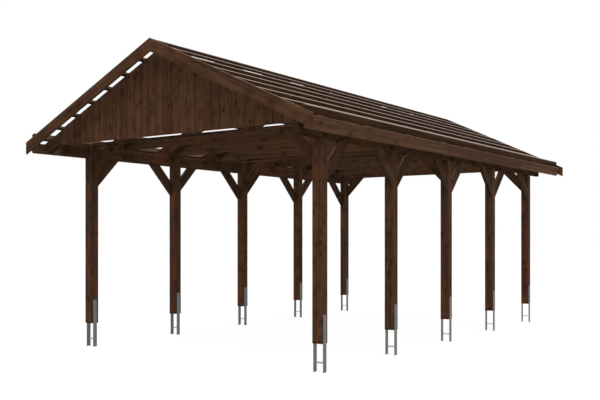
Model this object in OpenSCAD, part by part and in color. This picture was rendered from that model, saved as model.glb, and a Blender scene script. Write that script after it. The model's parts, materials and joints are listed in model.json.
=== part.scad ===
// Open timber carport with a gable roof of battens, on two rows of five posts.
// The front gable faces -Y. Z = 0 is the lower end of the post anchors.

/* [Roof] */
// Width of the roof over the ends of the bargeboards
roof_w = 4300; // [3800:10:4800]
// Length of the roof over the outer faces of the bargeboards
roof_l = 7550; // [7000:10:8200]
// Roof pitch in degrees
pitch = 25; // [23:0.5:27]
// Distance from the middle of a row of posts to the end of the bargeboards
eave_over = 390; // [370:2:430]
// Distance from the end of a purlin to the outer face of the bargeboards
verge_over = 237; // [160:1:300]

/* [Posts] */
// Side of the square posts
post_s = 115; // [110:1:125]
// Height of the purlin seat above the bottom of the post
seat_h = 2121; // [2000:5:2300]

/* [Anchors] */
// Length of the steel straps
strap_l = 600; // [500:10:700]
// Width of the steel straps
strap_w = 60; // [40:1:80]
// Thickness of the straps and of the web between them
strap_t = 6; // [4:0.5:10]
// Length of strap that lies against the post
strap_up = 300; // [200:10:350]
// Depth of the web below the post
web_drop = 200; // [120:5:220]

/* [Purlins] */
// Height of the purlins
purlin_h = 148; // [135:1:165]
// Thickness of the purlins
purlin_t = 56; // [45:1:75]
// Length of purlin past the middle of the end posts
purlin_over = 474; // [420:2:520]

/* [Ties] */
// Height of the tie beams
tie_h = 32; // [24:1:40]
// Thickness of the tie beams
tie_t = 60; // [40:1:90]
// Height of the collar ties
collar_h = 137; // [110:1:145]
// Thickness of the collar ties
collar_t = 45; // [30:1:60]
// Depth of the collar ties below the top of the purlins
collar_drop = 17; // [8:1:40]

/* [Braces] */
// Width of the braces, across their length
brace_w = 128; // [80:1:140]
// Thickness of the braces
brace_t = 42; // [30:1:55]
// Level and upright reach of the braces
brace_leg = 425; // [340:5:500]

/* [Rafters] */
// Depth of the rafters, square to the slope
rafter_d = 140; // [120:1:160]
// Thickness of the rafters
rafter_t = 60; // [40:1:80]
// Distance from the middle of the end rafters to the middle of the next ones
end_step = 905; // [860:5:950]
// Distance from the middle rafter to the middle of the next ones
middle_step = 710; // [640:5:780]

/* [Eaves] */
// Height of the fascia boards, square to the slope
fascia_h = 140; // [110:1:150]
// Thickness of the fascia boards
fascia_t = 20; // [15:1:30]
// Distance of the fascia's upper edge inside the end of the bargeboards
fascia_in = 43; // [30:1:60]

/* [Bargeboards] */
// Width of the bargeboards, square to the slope
barge_w = 135; // [110:1:160]
// Thickness of the bargeboards
barge_t = 20; // [16:1:35]

/* [Battens] */
// Width of the battens
batten_w = 50; // [40:1:60]
// Thickness of the battens
batten_t = 30; // [24:1:40]
// Thickness of the lowest batten on each slope
eave_batten_t = 70; // [45:1:80]
// Distance of the lowest batten up the slope from the outer face of the fascia
eave_set = 84; // [40:2:120]
// Distance between the upper edges of the lowest two battens
eave_step = 289; // [200:1:400]
// Distance of the first batten from the line of the ridge
ridge_gap = 6; // [3:1:15]

/* [Gables] */
// Distance of the edges of the boarding inside the purlins
gable_in = 4; // [2:1:60]
// Thickness of the boarding
gable_t = 20; // [14:1:28]
// Depth of the boarding below the top of the purlins
gable_drop = 30; // [10:1:60]

/* [Hidden] */
last = 4;
inner_rafters = 7;
middle = (inner_rafters - 1) / 2;
slope_battens = 7;
x_row = roof_w / 2 - eave_over;
x_out = x_row + post_s / 2;
x_in = x_out - purlin_t;
z_foot = strap_l - strap_up;
z_seat = z_foot + seat_h;
z_plate = z_seat + purlin_h;
purlin_l = roof_l - 2 * verge_over;
bay = (purlin_l - 2 * purlin_over) / last;
last_y = (purlin_l - rafter_t) / 2;
rafter_step = (last_y - end_step - middle_step) / (middle - 1);
rise = tan(pitch);
brace_cut = brace_w * sqrt(2);
x_eave = roof_w / 2 - fascia_in;
s_low = x_eave / cos(pitch) - eave_set - batten_w;
batten_step = (s_low - eave_step - ridge_gap) / (slope_battens - 1);
between = roof_l - 2 * barge_t;
wood = [0.27, 0.17, 0.12];
dark_wood = [0.22, 0.14, 0.10];
steel = [0.62, 0.64, 0.65];

// Middle of post i along a row
function post_y(i) = (i - last / 2) * bay;
// Middle of inner rafter i along the ridge
function rafter_y(i) = sign(i - middle) * (middle_step + (abs(i - middle) - 1) * rafter_step);
// Height of the rafter's lower edge, upper edge and of the batten tops at x
function under(x) = z_plate + (x_in - x) * rise;
function over(x) = under(x) + rafter_d / cos(pitch);
function skin(x) = over(x) + batten_t / cos(pitch);
// A point on the right slope: s down the slope from the ridge, n square to it
function on_slope(s, n) = [s * cos(pitch) + n * sin(pitch),
    over(0) - s * sin(pitch) + n * cos(pitch)];

// An outline in X and Z, given its thickness t along Y with its middle at y
module upright(y, t) {
    translate([0, y + t / 2, 0]) rotate([90, 0, 0]) linear_extrude(t) children();
}

// The same piece on one side of the middle plane or the other
module side(right) {
    if (right) children();
    else mirror([1, 0, 0]) children();
}

// Post i, notched at its head so that a tongue stands inside the purlin
module post(right, i) {
    tongue = post_s - purlin_t;
    color(wood) side(right) upright(post_y(i), post_s)
        translate([x_row - post_s / 2, 0]) polygon([[0, z_foot], [post_s, z_foot],
            [post_s, z_seat], [tongue, z_seat], [tongue, z_plate], [0, z_plate]]);
}

// Steel anchor under post i: two straps and the web that joins them
module anchor(right, i) {
    color(steel) side(right) translate([x_row, post_y(i), 0]) {
        for (e = [-1, 1]) translate([e * (post_s + strap_t) / 2, 0, strap_l / 2])
            cube([strap_t, strap_w, strap_l], center = true);
        translate([0, 0, z_foot - web_drop])
            cube([post_s + strap_t, strap_w, strap_t], center = true);
    }
}

module purlin(right) {
    color(wood) side(right) translate([x_in, -purlin_l / 2, z_seat])
        cube([purlin_t, purlin_l, purlin_h]);
}

// Outline of a brace: it rises from [0, -leg] on the post to [leg, 0] under the beam
module brace_outline(leg) {
    polygon([[0, -leg], [leg, 0], [leg - brace_cut, 0], [0, brace_cut - leg]]);
}

// Braces from the posts of one row up to the purlin, none past the end posts
module side_braces(right) {
    color(wood) side(right) for (i = [0 : last], e = [-1, 1])
        if (i + e >= 0 && i + e <= last)
            translate([x_out - brace_t, post_y(i) + e * post_s / 2, z_seat])
                mirror([0, e < 0 ? 1 : 0, 0]) rotate([90, 0, 90])
                    linear_extrude(brace_t) brace_outline(brace_leg);
}

// Flat beam across the carport on post heads i, cut to the slope at its ends
module tie_beam(i) {
    top = z_plate + tie_h;
    x_cut = x_in - tie_h / rise;
    color(dark_wood) upright(post_y(i), tie_t)
        polygon([[-x_in, z_plate], [x_in, z_plate], [x_cut, top], [-x_cut, top]]);
}

// Pair of braces from post row i up to the tie beam
module cross_braces(i) {
    color(wood) for (right = [true, false]) side(right) upright(post_y(i), brace_t)
        translate([x_row - post_s / 2, z_plate]) mirror([1, 0]) brace_outline(brace_leg);
}

// Rafter with a seat cut over the purlin, a plumb cut at the ridge and a square tail
module rafter_outline() {
    tail = x_eave / cos(pitch) - fascia_t;
    polygon([[0, over(0)], [0, under(0)], [x_in, z_plate], [x_out, z_plate],
        [x_out, under(x_out)], on_slope(tail, -rafter_d), on_slope(tail, 0)]);
}

module rafters(right) {
    color(dark_wood) side(right) {
        for (i = [0 : inner_rafters - 1]) upright(rafter_y(i), rafter_t) rafter_outline();
        for (e = [-1, 1]) upright(e * last_y, rafter_t) rafter_outline();
    }
}

// Boards on the back of the inner rafters, between the rows and clear of the middle tie
module collar_ties() {
    half = x_row - post_s / 2;
    color(dark_wood) for (i = [0 : inner_rafters - 1]) {
        back = max(rafter_t, i == middle ? tie_t : 0) / 2;
        translate([-half, rafter_y(i) + back, z_plate - collar_drop])
            cube([2 * half, collar_t, collar_h]);
    }
}

// Boarding on the outer face of the end rafters
module gable(front) {
    low = z_plate - gable_drop;
    half = x_in - gable_in;
    color(wood) upright((front ? -1 : 1) * (purlin_l + gable_t) / 2, gable_t)
        polygon([[-half, low], [half, low], [half, over(half)], [0, over(0)],
            [-half, over(half)]]);
}

// Half of a bargeboard pair, with plumb cuts at the ridge and at the eave
module bargeboard(right, front) {
    half = roof_w / 2;
    drop = barge_w / cos(pitch);
    color(wood) side(right) upright((front ? -1 : 1) * (roof_l - barge_t) / 2, barge_t)
        polygon([[0, skin(0)], [0, skin(0) - drop], [half, skin(half) - drop],
            [half, skin(half)]]);
}

// Board across the rafter tails, square to the slope
module fascia(right) {
    s = x_eave / cos(pitch);
    color(wood) side(right) upright(0, between) polygon([on_slope(s - fascia_t, 0),
        on_slope(s, 0), on_slope(s, -fascia_h), on_slope(s - fascia_t, -fascia_h)]);
}

// One batten lying on the rafters, with its upper edge s down the slope
module batten(s, t) {
    upright(0, between) polygon([on_slope(s, 0), on_slope(s, t),
        on_slope(s + batten_w, t), on_slope(s + batten_w, 0)]);
}

module battens(right) {
    color(dark_wood) side(right) for (k = [0 : slope_battens - 1])
        batten(ridge_gap + k * batten_step, batten_t);
}

module eave_battens() {
    color(dark_wood) for (right = [true, false]) side(right)
        batten(s_low, eave_batten_t);
}

post(false, 0);  // left_post_1
post(false, 1);  // left_post_2
post(false, 2);  // left_post_3
post(false, 3);  // left_post_4
post(false, 4);  // left_post_5
post(true, 0);  // right_post_1
post(true, 1);  // right_post_2
post(true, 2);  // right_post_3
post(true, 3);  // right_post_4
post(true, 4);  // right_post_5
anchor(false, 0);  // left_anchor_1
anchor(false, 1);  // left_anchor_2
anchor(false, 2);  // left_anchor_3
anchor(false, 3);  // left_anchor_4
anchor(false, 4);  // left_anchor_5
anchor(true, 0);  // right_anchor_1
anchor(true, 1);  // right_anchor_2
anchor(true, 2);  // right_anchor_3
anchor(true, 3);  // right_anchor_4
anchor(true, 4);  // right_anchor_5
purlin(false);  // left_purlin
purlin(true);  // right_purlin
side_braces(false);  // left_side_braces
side_braces(true);  // right_side_braces
tie_beam(0);  // front_tie_beam
tie_beam(2);  // middle_tie_beam
tie_beam(4);  // back_tie_beam
collar_ties();
cross_braces(0);  // front_cross_braces
cross_braces(2);  // middle_cross_braces
cross_braces(4);  // back_cross_braces
rafters(false);  // left_rafters
rafters(true);  // right_rafters
gable(true);  // front_gable
gable(false);  // back_gable
bargeboard(false, true);  // front_left_bargeboard
bargeboard(true, true);  // front_right_bargeboard
bargeboard(false, false);  // back_left_bargeboard
bargeboard(true, false);  // back_right_bargeboard
fascia(false);  // left_fascia
fascia(true);  // right_fascia
battens(false);  // left_battens
battens(true);  // right_battens
eave_battens();
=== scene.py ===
import bpy
import bmesh
import json
import math
import random
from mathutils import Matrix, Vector


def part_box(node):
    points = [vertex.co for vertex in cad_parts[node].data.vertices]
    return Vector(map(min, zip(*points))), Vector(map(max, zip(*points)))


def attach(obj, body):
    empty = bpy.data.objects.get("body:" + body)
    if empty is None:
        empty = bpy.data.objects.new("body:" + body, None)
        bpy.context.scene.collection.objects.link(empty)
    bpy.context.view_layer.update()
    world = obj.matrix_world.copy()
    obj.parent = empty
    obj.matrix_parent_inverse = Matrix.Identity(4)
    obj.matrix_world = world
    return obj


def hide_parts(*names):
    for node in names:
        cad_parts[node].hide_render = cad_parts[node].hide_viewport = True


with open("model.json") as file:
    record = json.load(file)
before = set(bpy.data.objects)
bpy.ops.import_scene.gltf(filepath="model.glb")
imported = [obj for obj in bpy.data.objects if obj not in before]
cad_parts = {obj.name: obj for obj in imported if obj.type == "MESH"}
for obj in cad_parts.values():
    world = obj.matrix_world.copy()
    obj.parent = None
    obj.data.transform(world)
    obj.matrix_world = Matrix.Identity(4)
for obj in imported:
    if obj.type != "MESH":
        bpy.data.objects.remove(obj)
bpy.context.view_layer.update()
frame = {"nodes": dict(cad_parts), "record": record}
scene = bpy.context.scene
scene.view_settings.view_transform = "Standard"
print("frame in:", len(frame["nodes"]), "nodes")


class Sock:  # a socket that can stand in sums
    def __init__(self, shade, link):
        self.shade = shade
        self.link = link

    def __getitem__(self, name):  # another output of the same node
        return Sock(self.shade, self.link.node.outputs[name])

    def calc(self, how, *terms):
        return self.shade.node("ShaderNodeMath", {"operation": how}, dict(enumerate(terms)))

    def __add__(self, other):
        return self.calc("ADD", self, other)

    def __radd__(self, other):
        return self.calc("ADD", other, self)

    def __sub__(self, other):
        return self.calc("SUBTRACT", self, other)

    def __rsub__(self, other):
        return self.calc("SUBTRACT", other, self)

    def __mul__(self, other):
        return self.calc("MULTIPLY", self, other)

    def __rmul__(self, other):
        return self.calc("MULTIPLY", other, self)

    def __truediv__(self, other):
        return self.calc("DIVIDE", self, other)

    def __rtruediv__(self, other):
        return self.calc("DIVIDE", other, self)

    def __pow__(self, other):
        return self.calc("POWER", self, other)

    def __rpow__(self, other):
        return self.calc("POWER", other, self)


class Shade:  # one node tree, of a material or of the world
    def __init__(self, tree):
        self.tree = tree
        tree.nodes.clear()

    def node(self, kind, settings=None, ins=None, out=0):
        n = self.tree.nodes.new(kind)
        for key, value in (settings or {}).items():
            setattr(n, key, value)
        for key, value in (ins or {}).items():
            if isinstance(value, Sock):
                self.tree.links.new(value.link, n.inputs[key])
            else:
                n.inputs[key].default_value = value
        return Sock(self, n.outputs[out]) if n.outputs else None

    def named(self, name, out="Vector"):
        return self.node("ShaderNodeAttribute", {"attribute_name": name}, out=out)

    def place(self):
        return self.node("ShaderNodeNewGeometry", out="Position")

    def parts(self, vec):  # X, Y and Z of a vector
        return self.node("ShaderNodeSeparateXYZ", None, {0: vec})

    def upward(self, low, high):  # 0 on upright faces, 1 on faces that look up
        facing = self.parts(self.node("ShaderNodeNewGeometry", out="True Normal"))
        return self.between(facing["Z"], low, high)

    def stretched(self, vec, by):
        return self.node("ShaderNodeVectorMath", {"operation": "MULTIPLY"}, {0: vec, 1: by})

    def shifted(self, vec, by):
        return self.node("ShaderNodeVectorMath", {"operation": "ADD"}, {0: vec, 1: by})

    def noise(self, vec, scale, detail=2.0, rough=0.5):
        return self.node("ShaderNodeTexNoise", None,
                         {"Vector": vec, "Scale": scale, "Detail": detail, "Roughness": rough})

    def pattern(self, vec, stretch, detail=2.0, rough=0.5):
        return self.noise(self.stretched(vec, stretch), 1.0, detail, rough)

    def between(self, value, low, high):  # 0 below low, 1 above high
        return self.node("ShaderNodeMapRange", {"interpolation_type": "SMOOTHSTEP"},
                         {"Value": value, "From Min": low, "From Max": high})

    def tint(self, amount, a, b, how="MIX"):
        return self.node("ShaderNodeMix", {"data_type": "RGBA", "blend_type": how},
                         {0: amount, 6: a, 7: b}, out=2)

    def backdropSeen(self):  # 1 for the camera, mirrors and glass, 0 for light that falls on the object
        path = self.node("ShaderNodeLightPath", out="Is Camera Ray")
        seen = path.calc("MAXIMUM", path, path["Is Glossy Ray"])
        return path.calc("MAXIMUM", seen, path["Is Transmission Ray"])

    def finish(self, surface, kind="ShaderNodeOutputMaterial"):
        self.node(kind, None, {"Surface": surface})


def newShade(name):
    mat = bpy.data.materials.new(name)
    mat.use_nodes = True
    return mat, Shade(mat.node_tree)


def tone(r, g, b):
    return (r, g, b, 1.0)


# camera set up from the measured vanishing lines of the picture
camera = {"at": (6.472, -10.137, 1.412), "turn": 35.06, "focalPx": 818.46, "horizonRow": 236.16,
          "wide": 600, "tall": 400, "sensor": 36.0}
lens = bpy.data.cameras.new("photoCamera")
lens.sensor_width = camera["sensor"]
lens.lens = camera["focalPx"] / camera["wide"] * camera["sensor"]
lens.shift_y = (camera["horizonRow"] - camera["tall"] / 2) / camera["wide"]
eye = bpy.data.objects.new("photoCamera", lens)
eye.location = camera["at"]
eye.rotation_euler = (math.radians(90), 0, math.radians(camera["turn"]))
scene.collection.objects.link(eye)
scene.camera = eye
print("camera: lens", round(lens.lens, 2), "mm")


# stretch of each pattern along, across and through a board
stretch = {"wander": (0.8, 5.0, 5.0), "knot": (0.62, 1.0, 1.0), "streak": (0.35, 26.0, 26.0),
           "fibre": (5.0, 420.0, 420.0), "crack": (0.9, 95.0, 95.0), "rub": (9.0, 40.0, 40.0)}
# where each mark starts and where it is full
span = {"red": (0.42, 0.74), "late": (0.35, 0.95), "fibre": (0.52, 0.80), "crack": (0.70, 0.735),
        "joint": (0.0, 0.8), "upper": (0.25, 0.65), "rub": (0.40, 0.66)}
# how much of each mark shows in the colour
share = {"fibre": 0.35, "halo": 0.45, "crack": 0.7, "joint": 0.42, "rub": 0.55,
         "faded": 0.25, "fadedStreak": 0.5}
# how far the grain bends, the knot's core and reach as parts of its size, and its push on the rings
growth = {"bend": 0.045, "knotCore": 0.45, "haloReach": 3.2, "ringPush": 0.9}
# height of each mark, and how strong and deep the bump is
relief = {"late": -0.35, "fibre": 0.55, "knot": 0.5, "crack": -1.6, "strength": 0.55, "depth": 0.0009}
# what each mark adds to the roughness
roughen = {"fibre": 0.10, "late": -0.06, "rub": 0.1}
# heights above the end of a post, in metres
postFoot = {"uneven": 0.05, "tideFrom": (0.015, 0.045), "tideTo": (0.06, 0.13), "tidePatch": (0.40, 0.62),
            "tideShare": 0.32, "dampTo": (0.002, 0.032), "dampShare": 0.75}


# brown stain over planed softwood, worked out in each board's own grain space
def stainedTimber(name, look):
    mat, s = newShade(name)
    grain = s.named("grain")
    worn = s.named("worn", "Fac")
    luck = s.parts(s.named("board"))
    wander = s.pattern(grain, stretch["wander"])
    bend = s.node("ShaderNodeVectorMath", {"operation": "SCALE"},
                  {0: wander["Color"], "Scale": growth["bend"]})
    fibreSpace = s.shifted(grain, bend)

    # knots, round in the board and pulled out along the grain
    cell = s.node("ShaderNodeTexVoronoi", {"feature": "F1"},
                  {"Vector": s.stretched(fibreSpace, stretch["knot"]), "Scale": look["knotsPerMetre"],
                   "Randomness": 1.0}, out="Distance")
    near = cell / look["knotsPerMetre"]
    knot = 1 - s.between(near, look["knotSize"] * growth["knotCore"], look["knotSize"])
    halo = 1 - s.between(near, look["knotSize"], look["knotSize"] * growth["haloReach"])

    # year rings round a pith that lies outside or inside each board
    p = s.parts(fibreSpace)
    pith = (p["Y"] * p["Y"] + p["Z"] * p["Z"]) ** 0.5
    ring = s.node("ShaderNodeMath", {"operation": "FRACT"},
                  {0: pith * (1 / look["ringWidth"]) + halo * growth["ringPush"]})
    late = s.between(ring, *span["late"]) * (1 - s.between(ring, span["late"][1], 1.0))

    streak = s.pattern(fibreSpace, stretch["streak"], 3.0, 0.6)
    fibre = s.pattern(fibreSpace, stretch["fibre"], 2.0, 0.6)
    blotch = s.pattern(grain, look["patches"], 3.0, 0.55)
    crack = s.between(s.pattern(fibreSpace, stretch["crack"], 1.0), *span["crack"])

    colour = s.tint(s.between(streak, *look["streaks"]), look["dark"], look["mid"])
    colour = s.tint(s.between(blotch, *span["red"]) * look["redness"], colour, look["red"])
    colour = s.tint(late * look["rings"], colour, look["deep"])
    colour = s.tint(s.between(fibre, *span["fibre"]) * share["fibre"], colour, look["deep"])
    colour = s.tint(halo * share["halo"], colour, look["deep"])
    colour = s.tint(knot * look["knotDepth"], colour, look["knot"])
    colour = s.tint(crack * share["crack"], colour, look["knot"])

    # each board has its own tone, and a little of its own hue
    boardTone = look["tone"] * (1 - look["mixed"] / 2 + luck["X"] * look["mixed"])
    green = boardTone * (look["greenDrift"][0] + luck["Y"] * look["greenDrift"][1])
    blue = boardTone * (look["blueDrift"][0] + luck["Y"] * look["blueDrift"][1])
    boardTint = s.node("ShaderNodeCombineXYZ", None, {0: boardTone, 1: green, 2: blue})
    colour = s.tint(1.0, colour, boardTint, "MULTIPLY")
    shaded = s.between(0 - worn, *span["joint"])  # joint between two boards
    colour = s.tint(shaded * share["joint"], colour, look["knot"])
    # painted top light: faces that look up are tinted lighter, in streaks
    upper = s.upward(*span["upper"])
    colour = s.tint(upper * (share["faded"] + streak * share["fadedStreak"]), colour, look["faded"])
    if look["foot"] is not None:  # dark end of a post, with a warm tide mark above it
        at = s.parts(s.place())
        rise = at["Z"] - look["foot"] + blotch * postFoot["uneven"] - postFoot["uneven"] / 2
        tide = s.between(rise, *postFoot["tideFrom"]) * (1 - s.between(rise, *postFoot["tideTo"]))
        tide = tide * s.between(blotch, *postFoot["tidePatch"])
        colour = s.tint(tide * postFoot["tideShare"], colour, look["tide"])
        # the post is darker towards its bottom end
        damp = 1 - s.between(rise, *postFoot["dampTo"])
        colour = s.tint(damp * postFoot["dampShare"], colour, look["damp"])
    rubbed = s.between(worn, 0.0, 1.0) * s.between(s.pattern(grain, stretch["rub"], 3.0), *span["rub"])
    colour = s.tint(rubbed * share["rub"], colour, look["worn"])

    height = late * relief["late"] + fibre * relief["fibre"] + knot * relief["knot"] + crack * relief["crack"]
    bump = s.node("ShaderNodeBump", None,
                  {"Strength": relief["strength"], "Distance": relief["depth"], "Height": height})
    gloss = look["gloss"] + fibre * roughen["fibre"] + late * roughen["late"] + rubbed * roughen["rub"]
    film = upper * look["film"]  # the stain stands thicker on the upper faces
    s.finish(s.node("ShaderNodeBsdfPrincipled", None,
                    {"Base Color": colour, "Roughness": gloss, "Normal": bump,
                     "Specular IOR Level": look["sheen"], "Specular Tint": look["glint"],
                     "Coat Weight": film, "Coat Roughness": look["filmRough"]}))
    return mat


plainStain = {
    "dark": tone(0.0410, 0.0198, 0.0103), "mid": tone(0.0775, 0.0378, 0.0196),
    "red": tone(0.100, 0.0410, 0.0200), "deep": tone(0.0220, 0.0108, 0.0060),
    "knot": tone(0.0090, 0.0046, 0.0027), "worn": tone(0.125, 0.068, 0.038),
    "faded": tone(0.185, 0.094, 0.052), "glint": tone(1.0, 0.88, 0.76),
    "tone": 1.0, "mixed": 0.28, "greenDrift": (0.95, 0.08), "blueDrift": (0.93, 0.10),
    "streaks": (0.30, 0.72), "redness": 0.75, "patches": (1.3, 5.0, 5.0), "rings": 0.42, "ringWidth": 0.0085,
    "knotsPerMetre": 9.0, "knotSize": 0.018, "knotDepth": 0.75,
    "gloss": 0.60, "sheen": 0.025, "film": 0.5, "filmRough": 0.22, "foot": None,
}
# timbers in the shade of the roof: a greyer copy of the stain, painted to match their look in that shade, and
# no shine off the pale floor
underRoof = {"dark": tone(0.0410, 0.0220, 0.0127), "mid": tone(0.0775, 0.0420, 0.0240), "sheen": 0.0}
finishes = {
    "post_timber": {"redness": 0.85, "patches": (2.2, 11.0, 11.0), "tone": 1.04, "mixed": 0.12,
                    "knotsPerMetre": 12.0, "knotSize": 0.015, "knotDepth": 0.70,
                    "foot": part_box("right_post_1")[0].z,
                    "damp": tone(0.016, 0.0085, 0.0045), "tide": tone(0.118, 0.043, 0.0155)},
    "purlin_timber": {**underRoof, "tone": 0.865, "mixed": 0.455},
    "brace_timber": {**underRoof, "redness": 0.5, "tone": 0.88, "film": 0.2, "sheen": 0.016},
    "tie_timber": {**underRoof, "redness": 0.5, "tone": 1.10, "mixed": -0.14, "film": 0.2},
    "rafter_timber": {**underRoof, "redness": 0.6, "tone": 0.92},
    "batten_timber": {"redness": 0.4, "tone": 0.82, "film": 0.64, "filmRough": 0.31, "knotSize": 0.012,
                      # stronger painted top light on the batten tops
                      "faded": tone(0.250, 0.125, 0.058)},
    "gable_boards": {"ringWidth": 0.0070, "redness": 0.45, "tone": 1.09, "mixed": 0.17,
                     "knotsPerMetre": 12.0, "knotSize": 0.0145, "streaks": (0.20, 0.82)},
    "bargeboard_timber": {"redness": 0.8, "tone": 1.24, "streaks": (0.36, 0.66),
                          "knotsPerMetre": 8.5, "knotSize": 0.022, "knotDepth": 0.60},
    "fascia_timber": {"redness": 0.35, "tone": 1.66, "streaks": (0.36, 0.66),
                      "knotsPerMetre": 8.0, "knotSize": 0.017, "knotDepth": 0.50,
                      "mid": tone(0.0740, 0.0395, 0.0225)},
}
timber = {slot: stainedTimber("stained_" + slot, {**plainStain, **own}) for slot, own in finishes.items()}


# hot-dip zinc with a faint spangle, for the straps
zinc = {"dull": tone(0.109, 0.108, 0.100), "bright": tone(0.196, 0.194, 0.178),
        "stain": tone(0.085, 0.082, 0.074), "top": tone(0.60, 0.60, 0.58),
        "spangleScale": 95.0, "spangleShare": 0.55, "cloudScale": 9.0, "cloudShare": 0.45,
        "runs": (60.0, 60.0, 3.0), "runSpan": (0.56, 0.78), "runShare": 0.35,
        "topSpan": (0.3, 0.8), "topShare": 0.8, "metallic": 0.75,
        "rough": 0.40, "spangleRough": 0.14, "cloudRough": 0.1,
        "spangleHeight": 0.2, "bumpStrength": 0.25, "bumpDepth": 0.0006}


def galvanisedSteel(name, look):
    mat, s = newShade(name)
    at = s.place()
    spangle = s.node("ShaderNodeTexVoronoi", {"feature": "F1"},
                     {"Vector": at, "Scale": look["spangleScale"]}, out="Color")
    flake = s.node("ShaderNodeSeparateColor", None, {0: spangle})
    cloud = s.noise(at, look["cloudScale"], 4.0, 0.6)
    run = s.between(s.pattern(at, look["runs"], 3.0), *look["runSpan"])
    light = flake["Red"] * look["spangleShare"] + cloud * look["cloudShare"]
    colour = s.tint(light, look["dull"], look["bright"])
    colour = s.tint(run * look["runShare"], colour, look["stain"])
    # painted top light: the upward faces of the zinc are tinted lighter
    colour = s.tint(s.upward(*look["topSpan"]) * look["topShare"], colour, look["top"])
    rough = look["rough"] + flake["Green"] * look["spangleRough"] + cloud * look["cloudRough"]
    bump = s.node("ShaderNodeBump", None, {"Strength": look["bumpStrength"], "Distance": look["bumpDepth"],
                                           "Height": cloud + flake["Blue"] * look["spangleHeight"]})
    s.finish(s.node("ShaderNodeBsdfPrincipled", None,
                    {"Base Color": colour, "Metallic": look["metallic"], "Roughness": rough, "Normal": bump}))
    return mat


strapZinc = galvanisedSteel("galvanised_straps", zinc)
print("materials:", len(bpy.data.materials))


def islandsOf(bm):
    seen = set()
    groups = []
    for start in bm.verts:
        if start in seen:
            continue
        group = []
        queue = [start]
        seen.add(start)
        while queue:
            v = queue.pop()
            group.append(v)
            for e in v.link_edges:
                w = e.other_vert(v)
                if w not in seen:
                    seen.add(w)
                    queue.append(w)
        groups.append(group)
    return groups


def middleOf(points):
    low = Vector(map(min, zip(*points)))
    high = Vector(map(max, zip(*points)))
    return (low + high) / 2


# where a board lies in its log: along the grain, and the pith aside and below, in metres
log = {"shift": (-9, 9), "aside": (-0.075, 0.075), "below": (0.015, 0.11)}
easedEdge = {"segments": 2, "profile": 0.6}
steep = 0.8  # a timber that points up more than this is an upright


def drawLot(dice):
    return (dice.uniform(*log["shift"]), dice.uniform(*log["aside"]), dice.uniform(*log["below"]),
            dice.random(), dice.random(), dice.random())


def grainAxes(along):
    if max(along, key=abs) < 0:
        along = -along
    across = Vector((0, 0, 1)) if abs(along.z) < steep else Vector((0, 1, 0))
    side = along.cross(across).normalized()
    return along, side, along.cross(side)


def sawnFrom(name, bm, ease, slot, seed, inJoint=None):
    # the boards before their edges are eased, each with its middle and its grain
    boards = []
    for group in islandsOf(bm):
        edges = {e for v in group for e in v.link_edges}
        longest = max(edges, key=lambda e: (round(e.calc_length(), 4), -e.index))
        along = (longest.verts[1].co - longest.verts[0].co).normalized()
        boards.append((middleOf([v.co for v in group]), along))
    cut = bmesh.ops.bevel(bm, geom=bm.edges[:], offset=ease, segments=easedEdge["segments"],
                          profile=easedEdge["profile"], affect="EDGES", clamp_overlap=True)
    eased = set(cut["faces"])
    bm.normal_update()
    dice = random.Random(seed)
    lots = [drawLot(dice) for b in boards]

    # each board's own grain space, its luck and its rubbed edges, as point attributes
    grainAt = {}
    boardAt = {}
    wornAt = {}
    for group in islandsOf(bm):
        here = middleOf([v.co for v in group])
        which = min(range(len(boards)), key=lambda i: (boards[i][0] - here).length)
        centre = boards[which][0]
        along, side, face = grainAxes(boards[which][1])
        shift, aside, below, *luck = lots[which]
        for v in group:
            d = v.co - centre
            grainAt[v] = (d.dot(along) + shift, d.dot(side) + aside, d.dot(face) + below)
            boardAt[v] = luck
            if inJoint:
                wornAt[v] = -1.0 if inJoint(v.co) else 0.0
            else:
                wornAt[v] = 1.0 if all(f in eased for f in v.link_faces) else 0.0
    bm.verts.index_update()
    order = list(bm.verts)
    mesh = bpy.data.meshes.new(name)
    bm.to_mesh(mesh)
    for label, values in (("grain", grainAt), ("board", boardAt)):
        held = mesh.attributes.new(label, "FLOAT_VECTOR", "POINT")
        held.data.foreach_set("vector", [x for v in order for x in values[v]])
    held = mesh.attributes.new("worn", "FLOAT", "POINT")
    held.data.foreach_set("value", [wornAt[v] for v in order])
    bm.free()
    mesh.materials.append(timber[slot])
    piece = bpy.data.objects.new(name, mesh)
    scene.collection.objects.link(piece)
    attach(piece, "root")
    return piece


sameSpot = 1e-5  # points closer than this are one
flatAngle = math.radians(0.3)  # faces that bend less than this are one


def solidOf(node):
    bm = bmesh.new()
    bm.from_mesh(frame["nodes"][node].data)
    bmesh.ops.remove_doubles(bm, verts=bm.verts, dist=sameSpot)
    bmesh.ops.dissolve_limit(bm, angle_limit=flatAngle, verts=bm.verts, edges=bm.edges)
    return bm


# timbers sawn from their solids, with the width of each eased edge
easing = {"post_timber": 0.004, "purlin_timber": 0.0035, "brace_timber": 0.0035, "tie_timber": 0.003,
          "rafter_timber": 0.003, "batten_timber": 0.002, "bargeboard_timber": 0.003, "fascia_timber": 0.0025}
firstSeed = 100
slotOf = {p["node"]: p["material_slot"] for p in frame["record"]["subparts"]}
for number, (node, slot) in enumerate(sorted(slotOf.items())):
    if slot in easing:
        piece = sawnFrom("sawn_" + node, solidOf(node), easing[slot], slot, firstSeed + number)
        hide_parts(node)
print("timbers sawn:", len([n for n in slotOf if slotOf[n] in easing]))


# upright boards with a vee along each joint, cut to the slope at the top
gableBoards = {"cover": 0.1208, "vee": 0.0055, "ease": 0.0012, "atEdge": 1e-4}


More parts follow.
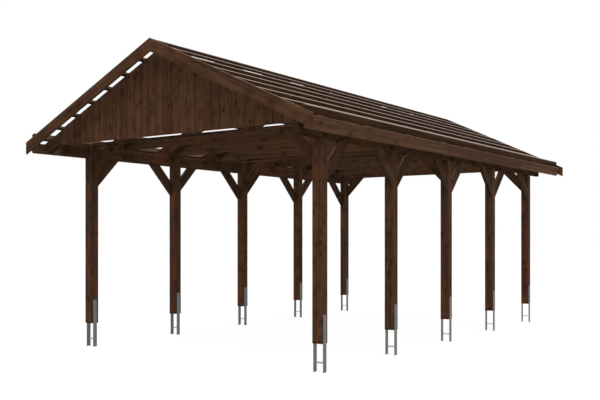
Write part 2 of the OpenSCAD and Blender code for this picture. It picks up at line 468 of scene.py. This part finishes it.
def boardedGable(node, outward, seed):
    low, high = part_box(node)
    corners = [v.co for v in frame["nodes"][node].data.vertices]
    eave = max(co.z for co in corners if abs(abs(co.x) - high.x) < gableBoards["atEdge"])
    count = round((high.x - low.x) / gableBoards["cover"] / 2) * 2
    step = (high.x - low.x) / count
    vee = gableBoards["vee"]
    back, front = (high.y, low.y) if outward < 0 else (low.y, high.y)
    inset = outward * -vee  # from the shown face back into the board

    def roofAt(x):
        return high.z - (high.z - eave) * abs(x) / high.x

    def atJoint(co):
        return abs((co.x - low.x + step / 2) % step - step / 2) < vee * 0.5

    bm = bmesh.new()
    for i in range(count):
        x0 = low.x + i * step
        x1 = low.x + (i + 1) * step
        plan = [(x0, back - inset * 0.5), (x0 + vee * 0.5, back),
                (x1 - vee * 0.5, back), (x1, back - inset * 0.5),
                (x1, front + inset), (x1 - vee, front), (x0 + vee, front), (x0, front + inset)]
        foot = [bm.verts.new((x, y, low.z)) for x, y in plan]
        head = [bm.verts.new((x, y, roofAt(x))) for x, y in plan]
        bm.faces.new(foot)
        bm.faces.new(head)
        for k in range(len(plan)):
            bm.faces.new((foot[k], foot[k - 1], head[k - 1], head[k]))
    bmesh.ops.recalc_face_normals(bm, faces=bm.faces)
    piece = sawnFrom("boards_" + node, bm, gableBoards["ease"], "gable_boards", seed, atJoint)
    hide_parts(node)
    return count


print("gable boards:", boardedGable("front_gable", -1, 41), boardedGable("back_gable", 1, 42))


# straps keep their solids and get the zinc and a little bevel
strapEdge = {"width": 0.0012, "segments": 2, "sharp": math.radians(40)}
for side in ("left", "right"):
    for i in range(1, 6):
        strap = frame["nodes"][side + "_anchor_%d" % i]
        for k in range(len(strap.material_slots)):
            strap.material_slots[k].material = strapZinc
        weld = strap.modifiers.new("weld", "WELD")
        weld.merge_threshold = sameSpot
        soft = strap.modifiers.new("eased", "BEVEL")
        soft.width = strapEdge["width"]
        soft.segments = strapEdge["segments"]
        soft.limit_method = "ANGLE"
        soft.angle_limit = strapEdge["sharp"]
print("anchors dressed")


# pale floor, white background and soft light
studio = {"floorWide": 90.0, "floorDrop": 0.0005, "floorColour": tone(0.82, 0.82, 0.82),
          "bounce": tone(0.50, 0.495, 0.485), "veil": 0.80, "veilWhite": 1.04,
          "zenith": 1.15, "horizon": 0.75, "skySpan": (0.1, 0.9),
          "suns": {"keySun": {"turn": (44, 0, 46), "power": 1.25},
                   "sideSun": {"turn": (58, 0, -40), "power": 0.45}},
          "sunSpread": math.radians(50)}
white = tone(1, 1, 1)
bm = bmesh.new()
bmesh.ops.create_grid(bm, x_segments=1, y_segments=1, size=studio["floorWide"])
mesh = bpy.data.meshes.new("floor")
bm.to_mesh(mesh)
bm.free()
floor = bpy.data.objects.new("floor", mesh)
floor.location.z = -studio["floorDrop"]
scene.collection.objects.link(floor)
mat, s = newShade("pale_floor")
matte = s.node("ShaderNodeBsdfDiffuse", None, {"Color": studio["floorColour"]})
lit = s.node("ShaderNodeEmission", None, {"Color": white, "Strength": studio["veilWhite"]})
pale = s.node("ShaderNodeMixShader", None, {0: studio["veil"], 1: matte, 2: lit})
under = s.node("ShaderNodeBsdfDiffuse", None, {"Color": studio["bounce"]})  # what the timbers get from below
s.finish(s.node("ShaderNodeMixShader", None, {0: s.backdropSeen(), 1: under, 2: pale}))
mesh.materials.append(mat)

world = bpy.data.worlds.new("studioWhite")
scene.world = world
world.use_nodes = True
s = Shade(world.node_tree)
skyward = s.parts(s.node("ShaderNodeTexCoord", out="Generated"))
low = s.node("ShaderNodeBackground", None, {"Color": white, "Strength": studio["horizon"]})
high = s.node("ShaderNodeBackground", None, {"Color": white, "Strength": studio["zenith"]})
dim = s.node("ShaderNodeMixShader", None, {0: s.between(skyward["Z"], *studio["skySpan"]), 1: low, 2: high})
plain = s.node("ShaderNodeBackground", None, {"Color": white, "Strength": 1.0})
sky = s.node("ShaderNodeMixShader", None, {0: s.backdropSeen(), 1: dim, 2: plain})
s.finish(sky, "ShaderNodeOutputWorld")

for name, how in studio["suns"].items():
    sun = bpy.data.lights.new(name, "SUN")
    sun.energy = how["power"]
    sun.angle = studio["sunSpread"]
    lamp = bpy.data.objects.new(name, sun)
    lamp.rotation_euler = [math.radians(a) for a in how["turn"]]
    scene.collection.objects.link(lamp)
print("studio ready")
